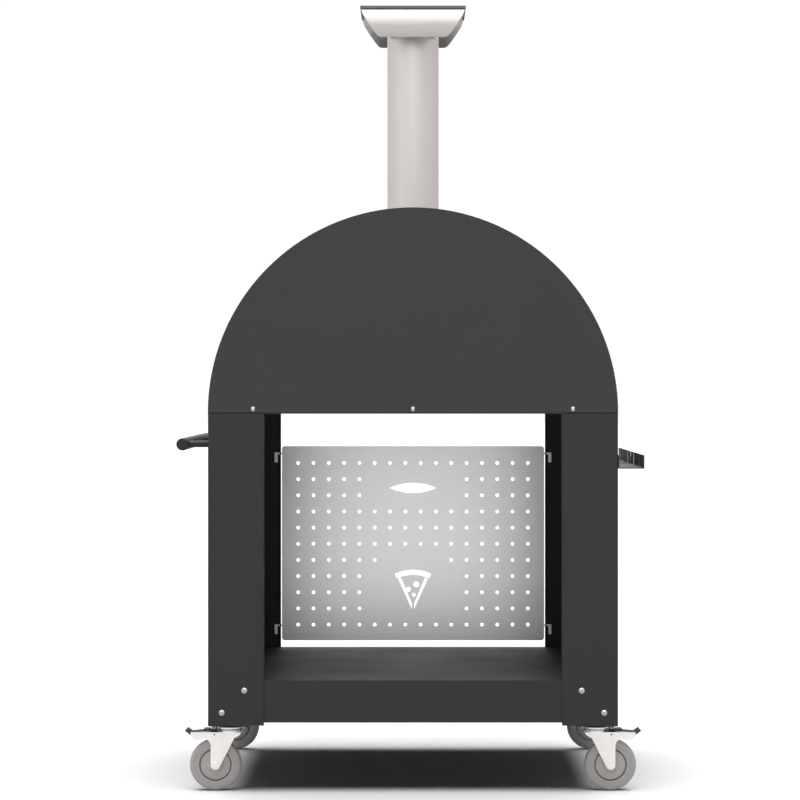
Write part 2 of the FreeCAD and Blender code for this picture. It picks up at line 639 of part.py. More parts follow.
# ---------------------------------------------------------------- door and thermometer
def door_panel():
    y1 = Y_FRONT - TRIM_H + 2
    y0 = y1 - DOOR_T
    plate = arch(MOUTH_HALF + DOOR_LAP, FLOOR_Z, MOUTH_SIDE_Z + DOOR_LAP, MOUTH_TOP_Z + DOOR_LAP,
                 y0, y1)
    plug = arch(MOUTH_HALF - PLUG_GAP, FLOOR_Z, MOUTH_SIDE_Z - PLUG_GAP, MOUTH_TOP_Z - PLUG_GAP,
                y1, y1 + PLUG_D)
    hollow = arch(MOUTH_HALF - PLUG_GAP - 2, FLOOR_Z + 2, MOUTH_SIDE_Z - PLUG_GAP - 2,
                  MOUTH_TOP_Z - PLUG_GAP - 2, y1, y1 + PLUG_D - 2)
    door = join([plate, plug.cut(hollow)])
    holes = [(side * GRIP_POST_X, y0, GRIP_BAR_Z) for side in (-1, 1)]
    return drilled(door, SHANK_R + HOLE_GAP, holes, (0, 1, 0), 6)


def door_face():
    return Y_FRONT - TRIM_H + 2 - DOOR_T


def door_brackets():
    posts = []
    y = door_face()
    for side in (-1, 1):
        x = side * GRIP_POST_X
        post = rod(GRIP_POST_R, (x, y - GRIP_REACH, GRIP_BAR_Z), (x, y, GRIP_BAR_Z))
        foot = rod(12, (x, y - 2.5, GRIP_BAR_Z), (x, y, GRIP_BAR_Z))
        stud = rod(SHANK_R, (x, y, GRIP_BAR_Z), (x, y + 10, GRIP_BAR_Z))
        body = join([post, foot, stud])
        grip = rod(GRIP_BAR_R, (x - 30, y - GRIP_REACH, GRIP_BAR_Z), (x + 30, y - GRIP_REACH, GRIP_BAR_Z))
        posts.append(body.cut(grip))
    return Part.makeCompound(posts)


def door_grip():
    y = door_face() - GRIP_REACH
    bar = rod(GRIP_BAR_R, (-GRIP_BAR_HALF, y, GRIP_BAR_Z), (GRIP_BAR_HALF, y, GRIP_BAR_Z))
    return bar.makeFillet(5.0, [e for e in bar.Edges if e.Closed])


def thermometer_case():
    y1 = Y_FRONT
    y0 = y1 - CASE_D
    body = rod(CASE_R, (DIAL_X, y0, DIAL_Z), (DIAL_X, y1, DIAL_Z))
    rim = [e for e in body.Edges if e.Closed and e.CenterOfMass.y < y0 + 1]
    body = body.makeFillet(1.8, rim)
    body = body.cut(rod(CASE_R - CASE_WALL, (DIAL_X, y0 - 1, DIAL_Z), (DIAL_X, y1 - 3, DIAL_Z)))
    probe = rod(PROBE_R, (DIAL_X, y1 - 1, DIAL_Z), (DIAL_X, PROBE_TIP, DIAL_Z))
    body = body.fuse(probe).removeSplitter()
    return body.cut(rod(NEEDLE_R + RUNNING, (DIAL_X, y1 - 9, DIAL_Z), (DIAL_X, y1 + 30, DIAL_Z)))


def thermometer_dial():
    y = Y_FRONT - CASE_D + 9
    disc = rod(DIAL_R, (DIAL_X, y, DIAL_Z), (DIAL_X, y + DIAL_T, DIAL_Z))
    ring = rod(DIAL_R, (DIAL_X, y + DIAL_T, DIAL_Z), (DIAL_X, Y_FRONT - 3, DIAL_Z))
    ring = ring.cut(rod(DIAL_R - 2, (DIAL_X, y, DIAL_Z), (DIAL_X, Y_FRONT, DIAL_Z)))
    return drilled(disc.fuse(ring).removeSplitter(), NEEDLE_R + RUNNING, [(DIAL_X, y, DIAL_Z)], (0, 1, 0), 5)


def thermometer_lens():
    y = Y_FRONT - CASE_D + 2
    return rod(DIAL_R, (DIAL_X, y, DIAL_Z), (DIAL_X, y + LENS_T, DIAL_Z))


def thermometer_needle():
    """Pointer on its spindle; the spindle runs back into the probe."""
    y = Y_FRONT - CASE_D + 6
    spindle = rod(NEEDLE_R, (DIAL_X, y, DIAL_Z), (DIAL_X, Y_FRONT + 25, DIAL_Z))
    boss = rod(3.0, (DIAL_X, y, DIAL_Z), (DIAL_X, y + 2, DIAL_Z))
    lean = math.radians(225)
    tip = (DIAL_X + NEEDLE_L * math.cos(lean), y + 0.5, DIAL_Z + NEEDLE_L * math.sin(lean))
    side = (1.6 * math.sin(lean), -1.6 * math.cos(lean))
    tail = (DIAL_X - 8 * math.cos(lean), y + 0.5, DIAL_Z - 8 * math.sin(lean))
    blade = prism((tip, (DIAL_X + side[0], y + 0.5, DIAL_Z + side[1]), tail,
                   (DIAL_X - side[0], y + 0.5, DIAL_Z - side[1])), (0, 1, 0), 1.0)
    return join([spindle, boss, blade])


# ---------------------------------------------------------------- casters
def caster_mount(side, y):
    x = side * CASTER_X
    plate = box(x - PLATE_X, x + PLATE_X, y - PLATE_Y, y + PLATE_Y, LEG_Z - T, LEG_Z)
    corners = [e for e in plate.Edges if abs(e.Vertexes[0].Z - e.Vertexes[1].Z) > 1]
    plate = plate.makeFillet(6.0, corners)
    race = rod(RACE_R, (x, y, RACE_Z[0]), (x, y, RACE_Z[1]))
    race = race.makeFillet(3.5, [e for e in race.Edges if e.Closed and e.CenterOfMass.z < RACE_Z[0] + 1])
    neck = rod(NECK_R, (x, y, RACE_Z[1]), (x, y, LEG_Z - T))
    pin = rod(KINGPIN_R, (x, y, CROWN_Z - CROWN_T - 4), (x, y, LEG_Z - T))
    head = rod(10, (x, y, CROWN_Z - CROWN_T - 4.2), (x, y, CROWN_Z - CROWN_T - 0.2))
    mount = join([plate, race, neck, pin, head])
    points = [(x + dx, y + dy, LEG_Z) for dx in (-BOLT_DX, BOLT_DX) for dy in (-BOLT_DY, BOLT_DY)]
    return drilled(mount, BOLT_R + HOLE_GAP, points, (0, 0, 1), 8)


def caster_fork(side, y):
    x = side * CASTER_X
    outer = FORK_IN + FORK_T
    u0, u1 = CROWN_U
    crown = box(x + side * u0, x + side * u1, y - outer, y + outer, CROWN_Z - CROWN_T, CROWN_Z)
    cheeks = []
    for y0 in (y - outer, y + FORK_IN):
        cheek = prism([(x + side * u, y0, z) for u, z in FORK_SIDE], (0, 1, 0), FORK_T)
        tip = rod(FORK_TIP_R, (x + side * TRAIL, y0, WHEEL_R), (x + side * TRAIL, y0 + FORK_T, WHEEL_R))
        cheeks.append(cheek.fuse(tip))
    race = rod(NECK_R, (x, y, CROWN_Z), (x, y, RACE_Z[0] - 0.4))
    body = join([crown] + cheeks + [race])
    body = body.cut(rod(KINGPIN_R + RUNNING, (x, y, CROWN_Z - 9), (x, y, LEG_Z)))
    u, z = PEDAL_AXIS
    body = body.cut(rod(PEDAL_PIN_R + RUNNING, (x + side * u, y - 30, z), (x + side * u, y + 30, z)))
    axle_x = x + side * TRAIL
    return body.cut(rod(AXLE_R + RUNNING, (axle_x, y - 30, WHEEL_R), (axle_x, y + 30, WHEEL_R)))


def caster_axle(side, y):
    x = side * (CASTER_X + TRAIL)
    outer = FORK_IN + FORK_T
    shank = rod(AXLE_R, (x, y - outer, WHEEL_R), (x, y + outer, WHEEL_R))
    ends = [rod(8.5, (x, y + outer, WHEEL_R), (x, y + outer + 4, WHEEL_R)),
            rod(8.5, (x, y - outer - 4, WHEEL_R), (x, y - outer, WHEEL_R))]
    return join([shank] + ends)


def ring_profile(x, y, outline):
    """Solid of revolution about the wheel's axle; outline is (radius, offset along Y)."""
    wire = Part.makePolygon([V(x + r, y + v, WHEEL_R) for r, v in outline + outline[:1]])
    return Part.Face(wire).revolve(V(x, y, WHEEL_R), V(0, 1, 0), 360)


def caster_hub(side, y):
    x = side * (CASTER_X + TRAIL)
    half = HUB_W / 2
    bore = AXLE_R + RUNNING
    outline = ((bore, -half), (11, -half), (12, -15), (16, -14), (35.5, -14), (36.3, -13.4), (36.8, -11.5),
               (HUB_R, -11.5), (HUB_R, 11.5), (36.8, 11.5), (36.3, 13.4), (35.5, 14), (16, 14), (12, 15),
               (11, half), (bore, half))
    return ring_profile(x, y, outline)


def caster_tyre(side, y):
    x = side * (CASTER_X + TRAIL)
    half = WHEEL_W / 2
    outline = ((HUB_R, -11.5), (HUB_R + 0.8, -11.5), (HUB_R + 1.3, -14.2), (HUB_R + 2.4, -15.2),
               (HUB_R + 5, -half), (WHEEL_R - 9, -half), (WHEEL_R - 4.5, -half + 1),
               (WHEEL_R - 1.6, -half + 3.6), (WHEEL_R, -half + 8.5), (WHEEL_R, half - 8.5),
               (WHEEL_R - 1.6, half - 3.6),
               (WHEEL_R - 4.5, half - 1), (WHEEL_R - 9, half), (HUB_R + 5, half), (HUB_R + 2.4, 15.2),
               (HUB_R + 1.3, 14.2), (HUB_R + 0.8, 11.5), (HUB_R, 11.5))
    return ring_profile(x, y, outline)


def brake_pedal(side, y):
    x = side * CASTER_X
    lever = prism([(x + side * u, y - PEDAL_HALF, z) for u, z in PEDAL_SIDE], (0, 1, 0), 2 * PEDAL_HALF)
    u, z = PEDAL_AXIS
    reach = FORK_IN + FORK_T + PEDAL_PIN_END
    pin = rod(PEDAL_PIN_R, (x + side * u, y - reach, z), (x + side * u, y + reach, z))
    return join([lever, pin])


# ---------------------------------------------------------------- write every node
os.makedirs("parts", exist_ok=True)

for name, side in (("left", -1), ("right", 1)):
    export("side_panel_" + name, side_panel(side))
    for end, y in zip(("front", "rear"), CASTER_Y):
        where = "_" + end + "_" + name
        export("caster_mount" + where, caster_mount(side, y))
        export("caster_fork" + where, caster_fork(side, y))
        export("caster_axle" + where, caster_axle(side, y))
        export("caster_hub" + where, caster_hub(side, y))
        export("caster_tyre" + where, caster_tyre(side, y))
        export("brake_pedal" + where, brake_pedal(side, y))

for maker in (shelf_tray, frame_screws, tool_panel, push_bar, push_bar_caps, push_bar_posts, peel_rack,
              caster_bolts, base_tray, insulation_board, floor_tiles, vault, chamber_back, chamber_front,
              insulation_wool, roof_shell, back_panel, facade, trim_screws, sill, smoke_hood, flue_pipe,
              flue_collar, cowl_plates, cowl_lid, cowl_straps, door_panel, door_brackets, door_grip,
              thermometer_case, thermometer_dial, thermometer_lens, thermometer_needle):
    export(maker.__name__, maker())
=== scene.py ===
import bmesh
import bpy
import json
from math import cos, pi, radians, sin
from mathutils import Matrix, Vector
from bpy.props import FloatProperty, FloatVectorProperty, IntProperty, PointerProperty


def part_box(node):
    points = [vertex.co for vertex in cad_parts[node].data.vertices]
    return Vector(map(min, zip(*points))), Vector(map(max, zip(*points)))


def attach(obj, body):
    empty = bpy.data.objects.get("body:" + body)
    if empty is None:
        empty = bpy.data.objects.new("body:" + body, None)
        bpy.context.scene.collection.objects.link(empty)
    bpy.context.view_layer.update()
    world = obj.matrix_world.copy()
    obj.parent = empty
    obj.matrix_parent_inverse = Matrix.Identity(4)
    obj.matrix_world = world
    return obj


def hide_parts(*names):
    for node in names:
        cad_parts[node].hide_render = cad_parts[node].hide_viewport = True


bl_info = {
    "name": "Wood fired oven on a cart",
    "version": (1, 0, 0),
    "blender": (4, 5, 0),
    "location": "3D View > Sidebar > Oven",
    "description": "Builds the finishes and fine pieces of a wood fired oven over its CAD frame",
    "category": "Object",
}

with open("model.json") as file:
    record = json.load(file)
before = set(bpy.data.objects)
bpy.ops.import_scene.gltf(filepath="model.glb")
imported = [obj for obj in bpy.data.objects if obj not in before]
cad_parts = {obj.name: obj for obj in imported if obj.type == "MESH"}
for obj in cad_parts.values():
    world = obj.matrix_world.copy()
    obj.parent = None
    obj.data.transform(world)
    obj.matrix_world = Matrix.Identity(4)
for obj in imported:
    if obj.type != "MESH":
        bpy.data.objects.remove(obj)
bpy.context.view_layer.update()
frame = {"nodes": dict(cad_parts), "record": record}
NODES = frame["nodes"]
BODY_OF = {node: body for body, members in frame["record"]["behaviour"]["bodies"].items()
           for node in members}
CORNERS = [(end, side) for end in ("front", "rear") for side in ("left", "right")]
MM = 0.001

# Half outlines of turned pieces, as (radius, place along the axis) in millimetres.
HUB = ((5.1, -17.0), (10.2, -17.0), (11.0, -16.4), (12.0, -15.2), (16.0, -14.3), (20.0, -14.0),
       (20.6, -13.6), (21.4, -13.6), (22.0, -14.0), (34.6, -14.0), (35.6, -13.9), (36.3, -13.4),
       (36.6, -6.0), (38.0, -6.0))
TYRE = ((38.0, -6.0), (39.0, -6.0), (39.4, -14.2), (40.4, -15.2), (43.0, -15.8), (47.5, -16.0),
        (48.0, -15.7), (48.6, -15.7), (49.1, -16.0), (54.5, -16.0), (57.2, -15.6), (59.6, -14.6),
        (61.3, -12.9), (62.4, -10.6), (63.0, -7.6), (63.2, -3.0), (63.2, -0.5), (63.5, -0.25))
CUP = ((24.1, -15.75), (25.3, -15.75), (27.0, -15.2), (28.3, -13.8), (28.8, -11.9), (28.8, -9.0),
       (29.3, -8.6), (29.3, -8.0), (28.8, -7.7), (24.1, -7.7))

# The pedal's foot pad: how far it starts from the toe, its run and rise, and where along it the ribs lie.
PAD_START = 18.0 * MM
PAD_RUN = 12.0 * MM
PAD_RISE = 7.7 * MM
RIB_PLACES = (0.16, 0.38, 0.60, 0.82)
RIB_LENGTH = 22.0 * MM
RIB_ROUNDING = 0.3 * MM

# The thermometer's scale; every third tick is a long one.
TICKS = 28
TICK_FIRST = 225
TICK_STEP = 10
TICK_REACH = 26.5 * MM
TICK_DEPTH = 0.2 * MM
TICK_LONG = (1.2 * MM, 6.0 * MM)
TICK_SHORT = (0.7 * MM, 3.5 * MM)

# The studio, in metres: each softbox's name, place, aim, and width and height.
SOFTBOXES = (("front", (0.0, 6.5, 4.8), (0.0, 0.0, 0.9), (5.0, 3.0)),
             ("side", (6.0, 4.0, 3.8), (0.0, 0.0, 1.2), (3.0, 4.0)))
FLOOR_HALF = 60.0
VIEW_DEPTH = 200.0
DIM_WALL = 0.72                # brightness of the walls on the dim side, as a share of the bright side
WALL_SHIFT = (-0.7, 0.5)       # sideways directions between which the walls brighten
CEILING_SHIFT = (0.16, 0.44)   # upward directions between which the walls turn into the ceiling


# ---------------------------------------------------------------- settings
def linear(text):
    """sRGB hex to linear RGBA."""
    parts = [int(text[i:i + 2], 16) / 255 for i in (1, 3, 5)]
    return tuple(c / 12.92 if c <= 0.04045 else ((c + 0.055) / 1.055) ** 2.4 for c in parts) + (1.0,)


def colour(name, text, description):
    return FloatVectorProperty(name=name, description=description, subtype="COLOR", size=4, min=0, max=1,
                               default=linear(text))


def length(name, millimetres, description):
    return FloatProperty(name=name, description=description, default=millimetres * MM, unit="LENGTH",
                         subtype="DISTANCE", min=0)


def number(name, value, description):
    return FloatProperty(name=name, description=description, default=value, min=0)


class OvenFinishes(bpy.types.PropertyGroup):
    casing: colour("Casing paint", "#343537", "Powder coat of the arched casing")
    cart: colour("Cart paint", "#2b2b2b", "Powder coat of the cart")
    bar: colour("Push bar paint", "#292929", "Powder coat of the push bar")
    stainless: colour("Sheet steel", "#d8d6d6", "Brushed stainless steel of the tool panel and door")
    flue: colour("Flue steel", "#b5b0ad", "Satin stainless steel of the flue")
    cowl: colour("Cowl steel", "#b1adaa", "Bright stainless steel of the cowl's plates")
    # The lid's grey is toned to its rim's dark band, so it stands in partly for painted shade.
    lid: colour("Lid paint", "#747476", "Heat-greyed powder coat of the cowl's lid")
    screw: colour("Screw steel", "#a4a2a2", "Turned stainless steel of the screws")
    zinc: colour("Zinc plate", "#e2dedb", "Bright zinc plate of the casters")
    tyre: colour("Tyre rubber", "#a5a2a1", "Grey rubber of the tyres")
    hub: colour("Hub nylon", "#aaa6a4", "Grey nylon of the wheel hubs")
    pedal: colour("Pedal steel", "#444444", "Dark coated steel of the brake pedals")
    brick: colour("Firebrick", "#c9a983", "Pressed firebrick of the hearth")
    wood: colour("Grip wood", "#8a5a34", "Oiled beech of the door's grip")


class OvenSizes(bpy.types.PropertyGroup):
    fold: length("Fold radius", 1.1, "Rounding of folded and cut sheet edges")
    fine: length("Fine edge", 0.5, "Rounding of small metal edges")
    thin: length("Thin edge", 0.3, "Rounding of the cowl's thin plates")
    tile: length("Tile edge", 1.2, "Rounding of the hearth's tiles")
    frame_head: length("Frame screw head", 3.2, "Height of a frame screw's head")
    trim_head: length("Casing screw head", 2.5, "Height of a casing screw's head")
    socket: FloatProperty(name="Hex socket", description="Width of a screw's socket as a share of its head",
                          default=0.52, min=0.2, max=0.8)
    rib: length("Pedal rib", 0.8, "Radius of the grip ribs on the brake pedals")
    steps: IntProperty(name="Round steps", description="Facets round a turned piece",
                       default=96, min=16, max=160)


class OvenStudio(bpy.types.PropertyGroup):
    distance: length("Camera distance", 6580.0, "Camera's distance from the origin along +Y")
    height: length("Camera height", 994.0, "Height of the camera")
    lens: number("Lens", 113.6, "Focal length in millimetres")
    shift_x: FloatProperty(name="Shift X", description="Sideways lens shift", default=-0.01625)
    shift_y: FloatProperty(name="Shift Y", description="Upward lens shift", default=-0.01875)
    key: number("Overhead light", 4.4, "Strength of the light from above")
    key_width: number("Overhead width", 62.0, "How many degrees wide the light from above is")
    front: number("Front light", 70.0, "Watts of the softbox behind the camera")
    side: number("Side light", 25.0, "Watts of the softbox on the push bar's side")
    walls: number("Walls", 1.04, "Brightness of the pale walls as metal mirrors them")
    ceiling: number("Ceiling", 2.4, "Brightness of the lit ceiling as metal mirrors it")
    ambient: number("Ambient", 0.02, "Even light that the walls throw on the oven")


def finishes():
    return bpy.context.scene.oven_finishes


def sizes():
    return bpy.context.scene.oven_sizes


# ---------------------------------------------------------------- materials
def add(tree, kind, links=(), **settings):
    """One node with its settings; links are (input, socket or value) pairs."""
    made = tree.nodes.new("ShaderNode" + kind)
    for key, value in settings.items():
        setattr(made, key, value)
    for slot, value in links:
        if isinstance(value, bpy.types.NodeSocket):
            tree.links.new(value, made.inputs[slot])
        else:
            made.inputs[slot].default_value = value
    return made


def start(name):
    """Empty material with its object coordinates."""
    material = bpy.data.materials.new(name)
    material.use_nodes = True
    tree = material.node_tree
    tree.nodes.clear()
    return material, tree, add(tree, "TexCoord").outputs["Object"]


def shaded(material, tree, links):
    shader = add(tree, "BsdfPrincipled", links)
    add(tree, "OutputMaterial", [("Surface", shader.outputs["BSDF"])])
    return material


def mixed(tree, factor, low, high):
    """Colour between two colours by a factor."""
    ramp = add(tree, "ValToRGB", [("Fac", factor)])
    ramp.color_ramp.elements[0].color = low
    ramp.color_ramp.elements[1].color = high
    return ramp


def ranged(tree, value, source, low, high):
    """Value moved from the source range to the range low to high."""
    return add(tree, "MapRange", [("Value", value), ("From Min", source[0]), ("From Max", source[1]),
                                  ("To Min", low), ("To Max", high)]).outputs["Result"]


def spread(tree, noise_node, low, high):
    """A noise's usual values stretched over a range."""
    return ranged(tree, noise_node.outputs["Fac"], (0.25, 0.75), low, high)


def noise(tree, vector, scale, detail, distortion=0.0):
    return add(tree, "TexNoise", [("Vector", vector), ("Scale", scale), ("Detail", detail),
                                  ("Distortion", distortion)])


def stretched(tree, place, scale):
    """Coordinates scaled differently along each axis, so that a noise is drawn out."""
    return add(tree, "Mapping", [("Vector", place), ("Scale", scale)]).outputs["Vector"]


def combined(tree, way, factor, first, second):
    """Two ramps' colours mixed in one of the mix node's ways."""
    return add(tree, "MixRGB", [("Fac", factor), ("Color1", first), ("Color2", second)],
               blend_type=way).outputs["Color"]


def raised(tree, noise_node, strength, distance):
    """Normals bumped by a noise."""
    return add(tree, "Bump", [("Height", noise_node.outputs["Fac"]), ("Strength", strength),
                              ("Distance", distance)]).outputs["Normal"]


def tone(value, gain):
    return tuple(min(1.0, c * gain) for c in value[:3]) + (1.0,)


def powder_coat(name, base):
    """Polyester powder coat: satin, with the faint orange peel of baked powder and slow shifts in tone."""
    material, tree, place = start(name)
    # A coat's peel is about 1.5 mm from crest to crest.
    peel = noise(tree, place, 650.0, 2.0)
    haze = noise(tree, place, 5.0, 4.0)
    grain = noise(tree, place, 1800.0, 1.0)
    ramp = mixed(tree, haze.outputs["Fac"], tone(base, 0.93), tone(base, 1.07))
    fleck = combined(tree, "SOFT_LIGHT", 0.16, ramp.outputs["Color"], grain.outputs["Color"])
    bump = raised(tree, peel, 0.10, 0.0003)
    rough = spread(tree, haze, 0.50, 0.60)
    return shaded(material, tree, [("Base Color", fleck), ("Roughness", rough),
                                   ("Normal", bump), ("Specular IOR Level", 0.2),
                                   ("Coat Weight", 0.03), ("Coat Roughness", 0.4)])


def brushed_steel(name, base, stretch, rough=0.34, depth=0.16, tint=None):
    """Stainless steel brushed with a belt: fine scratches drawn out along one way, a soft wide sheen.

    stretch is the scratches' scale along X, Y and Z, small along the brushing.
    depth is how deep they look."""
    material, tree, place = start(name)
    lines = noise(tree, stretched(tree, place, stretch), 1.0, 3.0)
    cloud = noise(tree, place, 9.0, 3.0)
    ramp = mixed(tree, lines.outputs["Fac"], tone(base, 0.88), tone(base, 1.06))
    surface = ramp.outputs["Color"]
    if tint:
        heat = mixed(tree, cloud.outputs["Fac"], tint, (1, 1, 1, 1))
        surface = combined(tree, "MULTIPLY", 0.8, surface, heat.outputs["Color"])
    bump = raised(tree, lines, depth, 0.0002)
    return shaded(material, tree, [("Base Color", surface), ("Metallic", 1.0),
                                   ("Roughness", spread(tree, lines, rough - 0.05, rough + 0.07)),
                                   ("Normal", bump)])


def zinc_plate(name, base):
    """Bright zinc plate over pressed steel: pale, with faint cloudy patches from the bath."""
    material, tree, place = start(name)
    cloud = noise(tree, place, 70.0, 5.0)
    pits = noise(tree, place, 1400.0, 1.0)
    ramp = mixed(tree, cloud.outputs["Fac"], tone(base, 0.84), tone(base, 1.05))
    bump = raised(tree, pits, 0.08, 0.0002)
    return shaded(material, tree, [("Base Color", ramp.outputs["Color"]), ("Metallic", 0.85),
                                   ("Roughness", spread(tree, cloud, 0.30, 0.46)),
                                   ("Normal", bump)])


def moulded(name, base, rough, dust, grit=900.0, shine=0.5):
    """Moulded rubber or nylon: dull and even, with a little dust and a fine matt grain."""
    material, tree, place = start(name)
    patches = noise(tree, place, 28.0, 6.0)
    grain = noise(tree, place, grit, 2.0)
    ramp = mixed(tree, patches.outputs["Fac"], tone(base, 1 - dust), tone(base, 1 + dust))
    bump = raised(tree, grain, 0.18, 0.0003)
    return shaded(material, tree, [("Base Color", ramp.outputs["Color"]),
                                   ("Roughness", spread(tree, patches, rough - 0.06, rough + 0.06)),
                                   ("Specular IOR Level", shine), ("Normal", bump)])


def firebrick(name, base):
    """Pressed firebrick: sandy, with dark grog grains of 1 to 3 mm and soot-greyed patches."""
    material, tree, place = start(name)
    grog = add(tree, "TexVoronoi", [("Vector", place), ("Scale", 330.0)])
    soot = noise(tree, place, 6.0, 6.0)
    sand = noise(tree, place, 700.0, 3.0)
    speck = mixed(tree, grog.outputs["Distance"], tone(base, 0.62), tone(base, 1.05))
    speck.color_ramp.elements[1].position = 0.35
    smoke = mixed(tree, soot.outputs["Fac"], (0.35, 0.33, 0.31, 1), (1, 1, 1, 1))
    surface = combined(tree, "MULTIPLY", 0.7, speck.outputs["Color"], smoke.outputs["Color"])
    bump = raised(tree, sand, 0.5, 0.0006)
    return shaded(material, tree, [("Base Color", surface), ("Roughness", 0.92),
                                   ("Normal", bump)])


def mineral_fibre(name, base):
    """Spun ceramic fibre: chalk white, dull, with matted strands a few millimetres long."""
    material, tree, place = start(name)
    strands = noise(tree, stretched(tree, place, (120.0, 300.0, 900.0)), 1.0, 5.0, 1.2)
    ramp = mixed(tree, strands.outputs["Fac"], tone(base, 0.82), tone(base, 1.05))
    bump = raised(tree, strands, 0.7, 0.0015)
    return shaded(material, tree, [("Base Color", ramp.outputs["Color"]), ("Roughness", 0.97),
                                   ("Normal", bump)])


def oiled_beech(name, base):
    """Turned beech rubbed with oil: warm, with long grain 1 to 2 mm wide and short darker flecks."""
    material, tree, place = start(name)
    grain = noise(tree, stretched(tree, place, (14.0, 420.0, 420.0)), 1.0, 4.0, 0.6)
    fleck = noise(tree, stretched(tree, place, (160.0, 1500.0, 1500.0)), 1.0, 1.0)
    ramp = mixed(tree, grain.outputs["Fac"], tone(base, 0.6), tone(base, 1.25))
    dots = mixed(tree, fleck.outputs["Fac"], (0.45, 0.38, 0.32, 1), (1, 1, 1, 1))
    dots.color_ramp.elements[1].position = 0.48
    surface = combined(tree, "MULTIPLY", 0.5, ramp.outputs["Color"], dots.outputs["Color"])
    bump = raised(tree, grain, 0.2, 0.0003)
    return shaded(material, tree, [("Base Color", surface), ("Roughness", 0.42),
                                   ("Normal", bump)])


def clear_glass(name):
    """Flat soda-lime glass: clear with a sharp reflection and the faintest smear in its gloss."""
    material, tree, place = start(name)
    smear = noise(tree, place, 60.0, 3.0)
    return shaded(material, tree, [("Base Color", (0.95, 0.98, 0.97, 1)), ("Transmission Weight", 1.0),
                                   ("IOR", 1.5), ("Roughness", spread(tree, smear, 0.01, 0.05))])


def floor_paper(name):
    """Matt studio floor, pale and even, with the faintest mottle."""
    material, tree, place = start(name)
    mottle = noise(tree, place, 3.0, 3.0)
    ramp = mixed(tree, mottle.outputs["Fac"], (0.88, 0.88, 0.88, 1), (0.92, 0.92, 0.92, 1))
    return shaded(material, tree, [("Base Color", ramp.outputs["Color"]), ("Roughness", 0.85),
                                   ("Specular IOR Level", 0.0)])


def build_materials():
    f = finishes()
    return {
        "casing": powder_coat("casing_powder_coat", f.casing),
        "cart": powder_coat("cart_powder_coat", f.cart),
        "lid": powder_coat("lid_powder_coat", f.lid),
        "bar": powder_coat("bar_powder_coat", f.bar),
        # Scratches run along X on flat sheet and round the flue on the pipe; the widest are 0.6 to 2 mm.
        "sheet_steel": brushed_steel("stainless_belt_brushed", f.stainless, (18.0, 900.0, 900.0)),
        "flue_steel": brushed_steel("stainless_flue_satin", f.flue, (60.0, 60.0, 1400.0), rough=0.5),
        "cowl_steel": brushed_steel("stainless_cowl_bright", f.cowl, (12.0, 1600.0, 1600.0), rough=0.38,
                                    depth=0.05),
        "fired_steel": brushed_steel("stainless_fire_darkened", f.stainless, (25.0, 500.0, 500.0),
                                     rough=0.5, tint=(0.25, 0.20, 0.17, 1)),
        "zinc": zinc_plate("zinc_plated_steel", f.zinc),
        "screw_steel": brushed_steel("screw_steel_turned", f.screw, (700.0, 700.0, 700.0), rough=0.3),
        # Caster bolts at half the screws' brightness: painted shade under the legs.
        "bolt": brushed_steel("bolt_steel_darkened", tone(f.screw, 0.5), (700.0, 700.0, 700.0), rough=0.4),
        "tyre": moulded("tyre_grey_rubber", f.tyre, 0.72, 0.08),
        "hub": moulded("hub_moulded_nylon", f.hub, 0.5, 0.05, 1500.0),
        "pedal": powder_coat("pedal_coated_steel", f.pedal),
        "cap": moulded("bar_cap_polythene", linear("#101010"), 0.55, 0.08, shine=0.3),
        "brick": firebrick("hearth_firebrick", f.brick),
        "wool": mineral_fibre("ceramic_fibre_blanket", linear("#ece8de")),
        "board": mineral_fibre("fibre_board_pressed", linear("#d8cfbd")),
        "wood": oiled_beech("grip_oiled_beech", f.wood),
        "glass": clear_glass("dial_glass"),
        "enamel": moulded("dial_white_enamel", linear("#ecebe6"), 0.35, 0.02),
        "ink": moulded("dial_black_print", linear("#1c1c1c"), 0.5, 0.05),
        "red": moulded("needle_red_lacquer", linear("#a8231c"), 0.35, 0.05),
    }


MATERIALS = {}


def finish(obj, key):
    obj.data.materials.clear()
    obj.data.materials.append(MATERIALS[key])


# ---------------------------------------------------------------- piece helpers
def piece(name, bm, key, node, hides=()):
    """Finished object from a bmesh; it rides with the node's body and takes the given finish."""
    mesh = bpy.data.meshes.new(name)
    bm.to_mesh(mesh)
    bm.free()
    obj = bpy.data.objects.new(name, mesh)
    bpy.context.scene.collection.objects.link(obj)
    mesh.shade_smooth()
    mesh.set_sharp_from_angle(angle=radians(32))
    finish(obj, key)
    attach(obj, BODY_OF[node])
    if hides:
        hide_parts(*hides)
    return obj


def merged(node):
    """Copy of a CAD node's mesh with its loose triangles joined and its flats made whole."""
    bm = bmesh.new()
    bm.from_mesh(NODES[node].data)
    bmesh.ops.remove_doubles(bm, verts=bm.verts, dist=2e-6)
    bmesh.ops.dissolve_limit(bm, angle_limit=radians(0.6), verts=bm.verts, edges=bm.edges)
    return bm


def softened(node, key, width, segments=2, angle=40):
    """The node's own shape with its edges rounded as real folded and turned metal is."""
    obj = piece(node + "_soft", merged(node), key, node, [node])
    edge = obj.modifiers.new("edge", "BEVEL")
    edge.width = width
    edge.segments = segments
    edge.limit_method = "ANGLE"
    edge.angle_limit = radians(angle)
    edge.use_clamp_overlap = True
    edge.harden_normals = True
    return obj


def plain(node, key):
    finish(NODES[node], key)


def turned(bm, profile, centre, axis, steps):
    """Spins a closed profile of (radius, along) points about an axis through centre."""
    axis = Vector(axis)
    side = axis.orthogonal().normalized()
    verts = [bm.verts.new(Vector(centre) + side * r + axis * a) for r, a in profile]
    edges = [bm.edges.new(p) for p in zip(verts, verts[1:] + verts[:1])]
    bmesh.ops.spin(bm, geom=verts + edges, cent=centre, axis=axis, angle=2 * pi, steps=steps,
                   use_merge=True)
    bmesh.ops.remove_doubles(bm, verts=bm.verts, dist=1e-6)
    bmesh.ops.recalc_face_normals(bm, faces=bm.faces)


